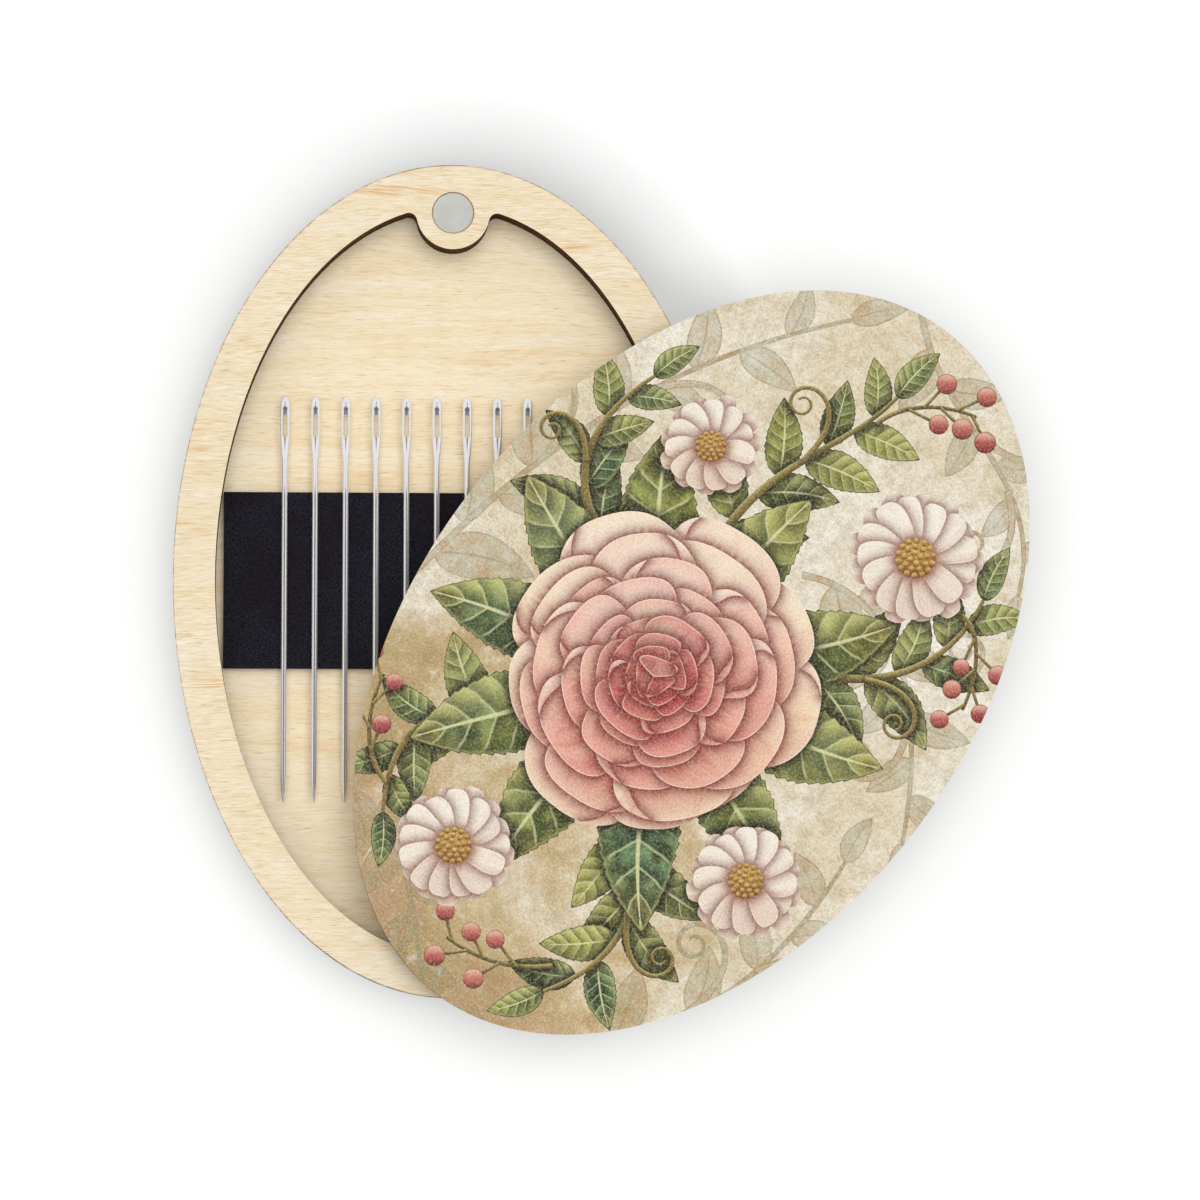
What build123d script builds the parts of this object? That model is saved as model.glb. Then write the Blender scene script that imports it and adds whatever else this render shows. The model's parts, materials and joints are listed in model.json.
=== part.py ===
from build123d import *
import os
from math import sqrt

# Oval wooden needle case. Three boards lie on each other: a floor, a frame with the pocket cut through it, and a
# lid that swivels sideways on a hidden pin in the rim. A magnet in the frame meets one in the lid to hold it shut.
# Millimetres, +Z up. The origin is the centre of the underside, and +Y points to the end with the magnet.

# Outline
case_length = 100.0
case_width = 66.6
rim_width = 5.0

# Boards, from the table up
floor_thickness = 3.0
frame_thickness = 4.0
lid_gap = 0.1
lid_thickness = 3.0
print_thickness = 0.15

# Magnets
magnet_diameter = 5.0
magnet_to_end = 5.8
magnet_glue_gap = 0.05
magnet_edge = 0.15
magnet_boss_wall = 1.87
magnet_boss_corner = 1.0
lid_magnet_thickness = 2.0

# Pivot
pivot_to_end = 3.2
pin_diameter = 2.0
pin_clearance = 0.05
pin_glue_gap = 0.02
pin_depth_in_lid = 2.0
pin_head_diameter = 4.0
pin_head_thickness = 1.0
pin_head_recess = 0.1
pin_end_play = 0.1
pivot_boss_wall = 1.6
pivot_boss_corner = 1.0
lid_swing = 37.8

# Magnetic strip
strip_width = 21.2
strip_thickness = 1.0
strip_end_clearance = 0.15
tape_thickness = 0.15
tape_inset = 0.5

# Needles
needle_count = 12
needle_pitch = 3.65
needle_length = 49.0
needle_shift = -2.3
needle_seat_gap = 0.01
shaft_diameter = 0.74
point_length = 3.9
point_blunt = 0.05
head_length = 9.0
head_width = 1.14
head_thickness = 0.5
crown_length = 1.3
cheek_length = 2.1
neck_width = 0.44
eye_length = 3.65
eye_width = 0.48
eye_to_end = 1.3
gutter_width = 0.3
gutter_depth = 0.14
gutter_above_eye = 0.85
gutter_below_eye = 2.1

# Heights and places that follow from these
frame_bottom = floor_thickness
frame_top = frame_bottom + frame_thickness
lid_bottom = frame_top + lid_gap
lid_top = lid_bottom + lid_thickness
pocket_length = case_length - 2 * rim_width
pocket_width = case_width - 2 * rim_width
magnet_y = case_length / 2 - magnet_to_end
pivot_y = pivot_to_end - case_length / 2
magnet_hole_radius = magnet_diameter / 2 + magnet_glue_gap
pin_hole_radius = pin_diameter / 2 + pin_clearance
pin_head_top = pin_head_recess + pin_head_thickness
tape_top = frame_bottom + tape_thickness
strip_top = tape_top + strip_thickness

at_magnet = Pos(0, magnet_y)
at_pivot = Pos(0, pivot_y)


def board(bottom, thickness):
    """An oval board with the outline of the case."""
    return Pos(0, 0, bottom) * extrude(Ellipse(case_width / 2, case_length / 2), thickness)


def hole(place, radius, bottom, depth):
    """The cylinder that a round hole takes out of a board, or that a pin or magnet fills it with."""
    return place * Pos(0, 0, bottom) * Cylinder(radius, depth, align=(Align.CENTER, Align.CENTER, Align.MIN))


def round_corners(sketch, place, boss_radius, radius):
    """Rounds the two corners where a boss runs into the pocket's oval."""
    centre = place.position
    corners = [v for v in sketch.vertices() if abs((Vector(v) - centre).length - boss_radius) < 0.001]
    return fillet(corners, radius)


def pocket_sketch():
    """The pocket seen from above: an oval, less a round boss for the magnet and a slight one for the pivot."""
    magnet_boss_radius = magnet_hole_radius + magnet_boss_wall
    pivot_boss_radius = pin_hole_radius + pivot_boss_wall
    pocket = Ellipse(pocket_width / 2, pocket_length / 2)
    pocket -= at_magnet * Circle(magnet_boss_radius)
    pocket = round_corners(pocket, at_magnet, magnet_boss_radius, magnet_boss_corner)
    pocket -= at_pivot * Circle(pivot_boss_radius)
    return round_corners(pocket, at_pivot, pivot_boss_radius, pivot_boss_corner)


def bottom_plate():
    """The floor, counterbored from below so that the pin's head lies inside it."""
    counterbore_radius = pin_head_diameter / 2 + pin_clearance
    plate = board(0, floor_thickness)
    plate -= hole(at_pivot, pin_hole_radius, 0, floor_thickness)
    return plate - hole(at_pivot, counterbore_radius, 0, pin_head_top + pin_end_play)


def case_frame():
    """The ring round the pocket, with the holes for its magnet and for the pin."""
    frame = board(frame_bottom, frame_thickness)
    frame -= Pos(0, 0, frame_bottom) * extrude(pocket_sketch(), frame_thickness)
    frame -= hole(at_magnet, magnet_hole_radius, frame_bottom, frame_thickness)
    return frame - hole(at_pivot, pin_hole_radius, frame_bottom, frame_thickness)


def magnet(bottom, thickness):
    """A disc magnet with its edges broken, in the shut case's own place for one."""
    disc = hole(at_magnet, magnet_diameter / 2, bottom, thickness)
    return chamfer(disc.edges().filter_by(GeomType.CIRCLE), magnet_edge)


def frame_magnet():
    """The disc that stands on the floor, flush with the frame's top."""
    return magnet(frame_bottom, frame_thickness)


def lid_board():
    """The lid as it lies when shut, with blind holes in its underside for its magnet and for the pin."""
    lid = board(lid_bottom, lid_thickness)
    lid -= hole(at_magnet, magnet_hole_radius, lid_bottom, lid_magnet_thickness)
    return lid - hole(at_pivot, pin_diameter / 2 + pin_glue_gap, lid_bottom, pin_depth_in_lid)


def lid_magnet():
    """The disc that meets the frame's when the lid is shut, flush with the lid's underside."""
    return magnet(lid_bottom, lid_magnet_thickness)


def lid_print():
    """The printed film on top of the lid."""
    return board(lid_top, print_thickness)


def pivot_pin():
    """The headed pin: its head turns under the floor, and its other end is glued into the lid."""
    head = hole(at_pivot, pin_head_diameter / 2, pin_head_recess, pin_head_thickness)
    shank_top = lid_bottom + pin_depth_in_lid
    return head + hole(at_pivot, pin_diameter / 2, pin_head_recess, shank_top - pin_head_recess)


def strip_half_length():
    """How far the strip's corners reach, just short of the pocket's oval wall."""
    across = strip_width / pocket_length
    return pocket_width / 2 * sqrt(1 - across**2) - strip_end_clearance


def magnetic_strip():
    """The black magnetic sheet across the pocket."""
    sheet = Rectangle(2 * strip_half_length(), strip_width)
    return Pos(0, 0, tape_top) * extrude(sheet, strip_thickness)


def strip_adhesive():
    """The tape that holds the strip down, a little smaller than it all round."""
    tape = Rectangle(2 * (strip_half_length() - tape_inset), strip_width - 2 * tape_inset)
    return Pos(0, 0, frame_bottom) * extrude(tape, tape_thickness)


def needle_head(top, neck):
    """The flat head seen from above: a blunt half oval, straight cheeks, then two long curves down into the shank."""
    half_width = head_width / 2
    half_neck = neck_width / 2
    crown = top - crown_length
    cheek = crown - cheek_length
    run = cheek - neck
    crown_arc = EllipticalCenterArc((0, crown), half_width, crown_length, start_angle=0, arc_size=180)
    outline = [crown_arc, Line((-half_neck, neck), (half_neck, neck))]
    for x in (1, -1):
        outline.append(Line((x * half_width, crown), (x * half_width, cheek)))
        bend = (x * half_width, cheek - run / 2), (x * 0.7 * half_width, cheek - 0.75 * run)
        outline.append(Bezier((x * half_width, cheek), *bend, (x * half_neck, neck)))
    return Pos(0, 0, -head_thickness / 2) * extrude(make_face(outline), head_thickness)


def gutter(start, end, start_height, end_height):
    """The V-shaped groove that leads the thread into the eye: deepest at start, run out to nothing at end."""
    over = 2
    tip = Vector(0, end, end_height)
    base = [Vector(0, start, start_height - gutter_depth)]
    for x in (1, -1):
        base.append(base[0] + Vector(x * gutter_width / 2, 0, gutter_depth) * over)
    near = [tip + (corner - tip) * 1.1 for corner in base]
    sides = [Face(Wire.make_polygon(loop)) for loop in ((near[0], near[1], tip), (near[1], near[2], tip))]
    sides += [Face(Wire.make_polygon(loop)) for loop in ((near[2], near[0], tip), near)]
    return Solid(Shell(sides))


def needle():
    """A needle along Y: a turned shank and point, planed down on two sides to a flat head with the eye through it."""
    top = needle_length / 2
    tip = -top
    radius = shaft_diameter / 2
    half_thickness = head_thickness / 2
    eye_top = top - eye_to_end
    eye_bottom = eye_top - eye_length
    neck = top - head_length
    shoulder = tip + point_length

    outline = [
        Polyline((point_blunt, tip), (0, tip), (0, eye_bottom), (radius, eye_bottom), (radius, shoulder)),
        Bezier((radius, shoulder), (radius, tip + point_length / 2), (point_blunt, tip)),
    ]
    blank = revolve(make_face(outline), Axis.Y)
    planed = Plane.YZ * make_face(
        Polyline(
            (neck, radius),
            (eye_bottom, half_thickness),
            (top, half_thickness),
            (top, shaft_diameter),
            (neck, shaft_diameter),
            close=True,
        )
    )
    waste = extrude(planed, shaft_diameter, both=True)
    blank -= waste
    blank -= mirror(waste, Plane.XY)
    blank += needle_head(top, neck)

    gutter_end = eye_bottom - gutter_below_eye
    slope = (radius - half_thickness) / (eye_bottom - neck)
    for groove in (
        gutter(eye_top, eye_top + gutter_above_eye, half_thickness, half_thickness),
        gutter(eye_bottom, gutter_end, half_thickness, half_thickness + slope * gutter_below_eye),
    ):
        blank -= groove
        blank -= mirror(groove, Plane.XY)
    eye = extrude(SlotOverall(eye_length, eye_width, rotation=90), head_thickness, both=True)
    return blank - Pos(0, (eye_top + eye_bottom) / 2) * eye


def needle_places():
    """Where each needle lies on the strip, from -X to +X."""
    height = strip_top + needle_seat_gap + shaft_diameter / 2
    first = -(needle_count - 1) / 2 * needle_pitch
    return [Pos(first + i * needle_pitch, needle_shift, height) for i in range(needle_count)]


def swung(piece):
    """Carries a piece of the shut lid round the pin to where the lid rests, part open."""
    return at_pivot * Rot(0, 0, -lid_swing) * at_pivot.inverse() * piece


parts = {
    "bottom_plate": bottom_plate(),
    "case_frame": case_frame(),
    "frame_magnet": frame_magnet(),
    "magnetic_strip": magnetic_strip(),
    "strip_adhesive": strip_adhesive(),
    "lid_board": swung(lid_board()),
    "lid_magnet": swung(lid_magnet()),
    "lid_print": swung(lid_print()),
    "pivot_pin": swung(pivot_pin()),
}
one_needle = needle()
for number, place in enumerate(needle_places(), 1):
    parts[f"needle_{number:02d}"] = place * one_needle

os.makedirs("parts", exist_ok=True)
for name, piece in parts.items():
    export_step(piece, f"parts/{name}.step")
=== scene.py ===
import json
from math import atan2, cos, pi, radians, sin
from types import SimpleNamespace

import bmesh
import bpy
import numpy as np
from mathutils import Matrix, Vector
from mathutils.geometry import delaunay_2d_cdt


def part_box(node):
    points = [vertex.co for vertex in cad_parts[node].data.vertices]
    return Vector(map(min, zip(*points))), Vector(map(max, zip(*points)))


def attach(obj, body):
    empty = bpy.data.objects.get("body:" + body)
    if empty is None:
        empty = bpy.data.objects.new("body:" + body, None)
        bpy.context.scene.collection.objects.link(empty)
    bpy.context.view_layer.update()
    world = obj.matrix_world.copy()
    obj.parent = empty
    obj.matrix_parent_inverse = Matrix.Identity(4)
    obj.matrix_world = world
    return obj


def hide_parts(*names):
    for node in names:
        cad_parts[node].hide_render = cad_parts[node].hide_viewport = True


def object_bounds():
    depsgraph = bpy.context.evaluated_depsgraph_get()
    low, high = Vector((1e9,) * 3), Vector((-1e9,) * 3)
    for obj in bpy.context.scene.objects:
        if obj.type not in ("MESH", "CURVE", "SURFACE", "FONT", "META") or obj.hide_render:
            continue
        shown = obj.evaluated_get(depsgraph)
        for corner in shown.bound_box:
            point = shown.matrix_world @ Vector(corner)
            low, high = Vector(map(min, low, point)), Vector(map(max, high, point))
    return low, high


# A wooden needle case, lid part open, seen from above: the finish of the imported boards, needles and magnets,
# and the printed facing of the lid, which is drawn here as one flat map of petals, leaves and stems.
# Metres, +Z up.
MM = 0.001

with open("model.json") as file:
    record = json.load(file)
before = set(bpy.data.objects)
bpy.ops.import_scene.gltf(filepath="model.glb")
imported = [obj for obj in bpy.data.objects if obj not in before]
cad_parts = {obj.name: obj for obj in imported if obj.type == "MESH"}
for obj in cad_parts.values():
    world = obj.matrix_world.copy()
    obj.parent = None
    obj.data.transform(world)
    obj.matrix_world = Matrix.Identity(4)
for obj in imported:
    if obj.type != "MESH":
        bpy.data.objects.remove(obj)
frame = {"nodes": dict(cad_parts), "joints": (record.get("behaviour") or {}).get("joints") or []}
cad_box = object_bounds()
nodes = frame["nodes"]
swivel = frame["joints"][0]
pivot = Vector(swivel["pos_m"])
shut_angle = radians(swivel["range_deg"][1])
shut_offset = pivot - Matrix.Rotation(shut_angle, 3, "Z") @ pivot
needle_names = sorted(name for name in nodes if name.startswith("needle_"))

# The photograph: its scale, and the pixel that lies over the origin
PHOTO_SIDE = 1200
PHOTO_MM_PER_PIXEL = 0.1195
PHOTO_ORIGIN = (451.9, 579.4)

# The camera stands over this pixel and looks at the middle of the picture
CAMERA_FOOT = (340, 1000)
CAMERA_HEIGHT = 600 * MM
CAMERA_SENSOR = 36.0
CAMERA_ZOOM = 0.991
CAMERA_CLIP = (10 * MM, 10)

# Light: a white dome, whiter where it is seen, and a soft sun from high above the magnet end
DOME_STRENGTH = 0.66
BACKDROP_STRENGTH = 1.0
SUN_STRENGTH = 1.42
SUN_SOFTNESS = 50
SUN_TILT = (-7, 6)

# The floor, a hair below the case: how white it is, and the shade that it keeps where the case is near
FLOOR_HALF_SIDE = 3.0
FLOOR_DROP = 0.02 * MM
FLOOR_WHITE = 0.25
FLOOR_GLOW = 0.79
FLOOR_GLOW_COLOR = (1.0, 1.0, 0.99, 1)
FLOOR_SHADE_REACH = 12 * MM
FLOOR_SHADE_SAMPLES = 16
FLOOR_SHADE_RANGE = (0.48, 0.958)
FLOOR_SHADE_DARKEST = 0.55
FLOOR_SHADE_LEAN = (-0.36, -0.29, 1.0)

# The dark card overhead, in metres, which only metal mirrors: it draws the dark line down each needle
CARD_HALF_WIDTH = 0.5
CARD_NEAR = -2.4
CARD_FAR = 0.113
CARD_HEIGHT = 0.9
CARD_COLOR = (16, 12, 16)

# How far the needles' steel is a mirror; the rest takes the light as a pale surface does
NEEDLE_METALLIC = 0.74

# One layer of the plywood, in millimetres
PLY_THICKNESS = 1.0

# Half the case's width and length, for the woods' scorched rim and for the print
low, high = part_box("case_frame")
OUTLINE = np.array([high.x - low.x, high.y - low.y]) / 2 / MM

# The magnets' holes, which are drilled, so the laser has left no brown in them
low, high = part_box("frame_magnet")
MAGNET_CENTRE = (low + high) / 2
DRILLED_RADIUS = (high.x - low.x) / 2 / MM + 0.3


def srgb(red, green, blue):
    """The linear values that Blender takes, for a colour given as the 0 to 255 that it shows on screen."""
    def linear(value):
        value /= 255
        return value / 12.92 if value <= 0.04045 else ((value + 0.055) / 1.055) ** 2.4

    return (linear(red), linear(green), linear(blue), 1.0)


def add_object(name, data):
    """A new object in the scene."""
    made = bpy.data.objects.new(name, data)
    bpy.context.scene.collection.objects.link(made)
    return made


class Graph:
    """The nodes of a material or a world, as expressions: most methods add a node and return its output."""

    def __init__(self, owner, surface="BsdfPrincipled"):
        owner.use_nodes = True
        self.owner = owner
        self.tree = owner.node_tree
        self.tree.nodes.clear()
        self.surface = self.node(surface)
        output = "OutputWorld" if isinstance(owner, bpy.types.World) else "OutputMaterial"
        self.node(output, {"Surface": self.surface.outputs[0]})

    def node(self, kind, inputs=None, **settings):
        made = self.tree.nodes.new("ShaderNode" + kind)
        for key, value in settings.items():
            setattr(made, key, value)
        self.feed(made, inputs or {})
        return made

    def feed(self, node, inputs):
        """Gives a node its inputs, by name or number: another node's output is linked, anything else set."""
        for key, value in inputs.items():
            if isinstance(value, bpy.types.NodeSocket):
                self.tree.links.new(value, node.inputs[key])
            else:
                node.inputs[key].default_value = value

    def add(self, kind, inputs=None, output=0, **settings):
        return self.node(kind, inputs, **settings).outputs[output]

    def math(self, operation, *values, clamp=False):
        return self.add("Math", dict(enumerate(values)), operation=operation, use_clamp=clamp)

    def ramp(self, value, low, high, to_low=0.0, to_high=1.0, form="SMOOTHSTEP"):
        """Goes from to_low to to_high as value goes from low to high, and stays there beyond."""
        inputs = dict(enumerate((value, low, high, to_low, to_high)))
        return self.add("MapRange", inputs, interpolation_type=form, clamp=True)

    def mix(self, factor, first, second, blend="MIX"):
        """Mixes two colours, each of them a node's output, Blender's four values or three screen values."""
        inputs = {0: factor}
        for place, color in ((6, first), (7, second)):
            on_screen = isinstance(color, tuple) and len(color) == 3
            inputs[place] = srgb(*color) if on_screen else color
        return self.add("Mix", inputs, 2, data_type="RGBA", blend_type=blend, clamp_factor=True)

    def glaze(self, color, *layers):
        """Lays colours over the first one, each up to its strength as its measure goes from start to end."""
        for measure, start, end, strength, over in layers:
            color = self.mix(self.ramp(measure, start, end, 0, strength), color, over)
        return color

    def stretch(self, vector, scale=(1.0, 1.0, 1.0), offset=(0.0, 0.0, 0.0), turn=0.0):
        """The vector stretched, turned about +Z and moved."""
        inputs = {"Vector": vector, "Scale": scale, "Location": offset, "Rotation": (0, 0, turn)}
        return self.add("Mapping", inputs, vector_type="POINT")

    def place(self, turn=0.0, offset=Vector()):
        """The point's place in the part's own frame, in millimetres, turned about +Z and moved."""
        return self.stretch(self.add("TexCoord", output="Object"), [1 / MM] * 3, offset / MM, turn)

    def noise(self, vector, scale=1.0, detail=3.0, roughness=0.5, distortion=0.0):
        inputs = {"Vector": vector, "Scale": scale, "Detail": detail, "Roughness": roughness}
        return self.add("TexNoise", inputs | {"Distortion": distortion}, "Fac")

    def join(self, x=0.0, y=0.0, z=0.0):
        return self.add("CombineXYZ", {"X": x, "Y": y, "Z": z})

    def axis(self, vector, name):
        return self.add("SeparateXYZ", {0: vector}, name)

    def away(self, place, centre):
        """How far the place lies from the vertical line through centre, in millimetres."""
        flat = self.stretch(place, (1, 1, 0), (-centre.x / MM, -centre.y / MM, 0))
        return self.add("VectorMath", {0: flat}, "Value", operation="LENGTH")

    def attribute(self, name):
        return self.add("Attribute", output="Fac", attribute_name=name)

    def background_ray(self):
        """1 for the rays that see the background: from the camera, and by way of metal or glass."""
        path = self.node("LightPath").outputs
        seen = self.math("MAXIMUM", path["Is Camera Ray"], path["Is Glossy Ray"])
        return self.math("MAXIMUM", seen, path["Is Transmission Ray"])

    def bump(self, height, distance, strength=1.0):
        inputs = {"Strength": strength, "Distance": distance, "Height": height}
        self.feed(self.surface, {"Normal": self.add("Bump", inputs, "Normal")})

    def finish(self, color, roughness=0.5, metallic=0.0, specular=0.5):
        """Sets the surface and returns the material."""
        self.feed(self.surface, {"Base Color": color, "Roughness": roughness, "Metallic": metallic})
        self.feed(self.surface, {"Specular IOR Level": specular})
        return self.owner


def new_graph(name):
    return Graph(bpy.data.materials.new(name))


def wood(name, seed, turn=0.0, offset=Vector(), painted_light_gain=1.0, grain=0.62, stained=0.62):
    """Pale plywood, its grain along X on the faces, with the brown that a laser leaves on the cut edges."""
    g = new_graph(name)
    place = g.place(turn, offset)
    wander = g.noise(g.stretch(place, (0.05, 0.09, 0.09), (seed, 0, 0)), detail=2)
    shift = {0: g.join(y=wander), 1: (0, 3.2, 0), 2: place}
    bent = g.add("VectorMath", shift, operation="MULTIPLY_ADD")

    def marks(along, across, number, detail, roughness=0.5):
        """Noise drawn out along the grain; each number gives other marks."""
        spot = g.stretch(bent, (along, across, across), (seed, number, 0))
        return g.noise(spot, detail=detail, roughness=roughness)

    bands = marks(0.03, 0.5, 3, detail=3)
    streaks = marks(0.1, 2.2, 7, detail=4, roughness=0.65)
    fibres = marks(0.42, 7.0, 1, detail=4, roughness=0.75)
    dashes = marks(0.5, 5.6, 5, detail=2)
    stains = marks(0.05, 0.3, 9, detail=3)
    stain_lines = marks(0.16, 3.0, 2, detail=4, roughness=0.7)

    face = g.glaze(
        (247, 232, 202),
        (bands, 0.38, 0.64, 1, (244, 225, 188)),
        (streaks, 0.5, 0.74, 0.6, (233, 203, 154)),
        (streaks, 0.5, 0.26, 0.6, (253, 242, 219)),
        (fibres, 0.5, 0.68, grain, (224, 196, 150)),
        (fibres, 0.5, 0.32, grain, (255, 248, 230)),
    )
    dash = g.math("MULTIPLY", g.ramp(dashes, 0.61, 0.7, 0, 0.6), g.ramp(fibres, 0.42, 0.6))
    face = g.mix(dash, face, (198, 160, 108))
    stain = g.math("MULTIPLY", g.ramp(stains, 0.56, 0.7), g.ramp(stain_lines, 0.44, 0.64, 0, stained))
    face = g.mix(stain, face, (230, 176, 114))
    # Painted light: the faces brightened by this gain, which the pocket's floor board takes to make up for the
    # shade that the frame's walls cast on it
    face = g.mix(1.0, face, (painted_light_gain, painted_light_gain, painted_light_gain, 1.0), blend="MULTIPLY")

    x, y = (g.math("MULTIPLY", g.axis(place, name), 1 / half) for name, half in zip("XY", OUTLINE))
    outward = g.math("ADD", g.math("MULTIPLY", x, x), g.math("MULTIPLY", y, y))
    scorch = g.math("MULTIPLY", g.ramp(outward, 0.992, 0.998), g.ramp(streaks, 0.35, 0.6, 0.25, 0.8))
    face = g.mix(scorch, face, (120, 80, 46))

    plies = g.noise(g.stretch(place, (0.05, 0.05, 2.2), (seed, 4, 0)), detail=2)
    char = g.noise(g.stretch(place, (0.9, 0.9, 0.35), (seed, 6, 0)), detail=3)
    layers = g.math("PINGPONG", g.axis(place, "Z"), PLY_THICKNESS / 2)
    edge = g.glaze(
        (60, 36, 8),
        (plies, 0.4, 0.62, 1, (96, 62, 22)),
        (char, 0.45, 0.7, 0.6, (46, 27, 6)),
        (layers, 0.42, 0.5, 0.45, (30, 15, 6)),
    )

    normal = g.add("NewGeometry", output="True Normal")
    upright = g.ramp(g.math("ABSOLUTE", g.axis(normal, "Z")), 0.75, 0.35)
    cut = g.ramp(g.away(place, MAGNET_CENTRE), DRILLED_RADIUS, DRILLED_RADIUS + 0.1)
    g.bump(fibres, 0.02 * MM, 0.5)
    return g.finish(g.mix(g.math("MULTIPLY", upright, cut), face, edge), roughness=0.68, specular=0.04)


def magnet_metal():
    """Satin nickel plate, a little cloudy, with fine turning marks."""
    g = new_graph("nickel_magnet")
    place = g.place()
    cloud = g.noise(place, scale=0.45, detail=2)
    fine = g.noise(g.stretch(place, (9, 1.5, 4)), detail=2)
    color = g.glaze((240, 241, 234), (cloud, 0.3, 0.7, 1, (250, 250, 243)))
    return g.finish(color, g.ramp(fine, 0.3, 0.7, 0.3, 0.42), metallic=0.85)


def magnetic_sheet():
    """Matte black sheet with the fine mottle of a calendered magnetic rubber."""
    g = new_graph("magnetic_sheet")
    place = g.place()
    mottle = g.noise(place, scale=5.5, detail=3, roughness=0.7)
    cloud = g.noise(place, scale=0.12, detail=2)
    color = g.glaze((8, 8, 17), (mottle, 0.35, 0.65, 1, (46, 44, 51)), (cloud, 0.4, 0.65, 0.45, (24, 18, 24)))
    g.bump(mottle, 0.03 * MM, 0.6)
    return g.finish(color, roughness=0.8, specular=0.12)


def tape_paper():
    """Milky double-sided tape, seen only as a line under the magnetic sheet."""
    g = new_graph("mounting_tape")
    cloud = g.noise(g.place(), scale=0.8, detail=2)
    return g.finish(g.mix(cloud, (214, 208, 190), (228, 223, 208)), roughness=0.6)


def needle_steel():
    """Bright drawn steel with faint marks along the needle, with painted shade down in the groove and the eye,
    and a painted dark reflection line that runs on from the groove down the shank.
    """
    g = new_graph("needle_steel")
    marks = g.noise(g.stretch(g.place(), (22, 0.35, 22)), detail=3)
    color = g.mix(marks, (244, 242, 242), (254, 252, 252))
    # Painted shade in the groove and the eye, and the painted dark reflection line down the shank, carried by
    # the groove layer
    color = g.glaze(color, (g.attribute("groove"), 0.1, 0.9, 0.85, (96, 90, 92)))
    return g.finish(color, g.ramp(marks, 0.3, 0.7, 0.04, 0.08), metallic=NEEDLE_METALLIC)


def pin_steel():
    """Turned steel of the hidden pin: rings round its head."""
    g = new_graph("pin_steel")
    step = 0.08
    rings = g.math("PINGPONG", g.away(g.place(), pivot), step)
    color = g.glaze((172, 170, 168), (rings, 0.0, step, 1, (206, 204, 201)))
    return g.finish(color, roughness=0.32, metallic=1.0)


def dress(names, material):
    for name in names:
        slots = nodes[name].data.materials
        slots.clear()
        slots.append(material)


# The pocket's floor board gets a painted brightening against the shade inside the pocket
dress(["bottom_plate"], wood("floor_wood", 11.0, painted_light_gain=1.06, stained=0.35))
dress(["case_frame"], wood("frame_wood", 11.0, grain=0.95, stained=0.95))
dress(["lid_board"], wood("lid_wood", 23.0, shut_angle, shut_offset))
dress(["frame_magnet", "lid_magnet"], magnet_metal())
dress(["magnetic_strip"], magnetic_sheet())
dress(["strip_adhesive"], tape_paper())
dress(["pivot_pin"], pin_steel())


# The needles, in millimetres from the eye end. The CAD's needle has the same outline, with unrounded edges
# and an eye that is straight through: here a ramp leads down into it from its top end.
HEAD_HALF_WIDTH = 0.57
HEAD_HALF_THICKNESS = 0.25
HEAD_ROUNDING = 0.3
HEAD_SQUARENESS = 3.2
SHANK_SQUARENESS = 2.0
CROWN_END = 1.3
CHEEK_END = 3.4
NECK_END = 9.0
NECK_HALF_WIDTH = 0.22
NECK_BEND = (0.7, 0.75)
POINT_LENGTH = 3.9
POINT_BLUNT = 0.05

# The eye: a ramp starts with a step and gets as deep as a share of the head, where the hole begins
EYE_START = 1.25
EYE_STEP = 0.15
RAMP_END_DEPTH = 0.9
HOLE_START = 2.2
EYE_END = 4.95
EYE_SLOPE = 0.3
EYE_HALF_WIDTH = 0.22

# The eye's rounded rails, with their heights along it, and the groove's lip at its widest, as shares
RAIL_ROUNDING = 0.08
RAIL_HEIGHTS = (0.1, 0.82, 0.82, 0.5)
RAIL_MIDDLE = 0.5
LIP_SHARE = 0.6

# The gutter: a hairline on the crown, then a line, and the wide groove below the eye
GUTTER_HALF_WIDTH = 0.15
GUTTER_DEPTH = 0.14
GUTTER_START = 0.6
GUTTER_END = 7.05
HAIRLINE = 0.02
CROWN_LINE = 0.06

# Painted shade in the groove: down the ramp, in the eye, along a painted dark reflection line that runs on
# from the gutter, and on its lip
RAMP_PAINTED_SHADE = (0.0, 0.35, 0.6, 0.35, 0.0)
EYE_PAINTED_SHADE = 0.6
PAINTED_REFLECTION_DARKNESS = 0.5
PAINTED_REFLECTION_RUN_OUT = 3.0
LIP_PAINTED_SHADE = 0.35

# Where a section has its points, from the groove's lip to the side, and how sharp an edge isn't smoothed
SECTION_STEPS = np.array((0.0, 0.05, 0.3, 0.55, 0.75, 0.88, 0.96, 1.0))
SHARP_ANGLE = 50
WELD_DISTANCE = 0.002 * MM
DISSOLVE_DISTANCE = 0.001 * MM


def eased(start, end, count):
    """Values from start to end that lie closer together towards both."""
    return start + (end - start) * (1 - np.cos(pi * np.arange(count + 1) / count)) / 2


def eased_in(start, reach, count):
    """Values from start to a reach further on that lie closer together towards the start."""
    return start + reach * (1 - np.cos(pi / 2 * np.arange(count + 1) / count))


def rounded(s, start, reach):
    """Rises from 0 at start to 1 a reach further on, as a quarter circle does."""
    return np.sqrt(1 - (1 - np.clip((s - start) / reach, 0, 1)) ** 2)


def curve(start, first, second, end, count=60):
    """Points on the cubic curve from start to end that first and second pull."""
    t = np.linspace(0, 1, count)[:, None]
    start, first, second, end = (np.array(p, float) for p in (start, first, second, end))
    return start * (1 - t) ** 3 + 3 * first * t * (1 - t) ** 2 + 3 * second * t**2 * (1 - t) + end * t**3


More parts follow.
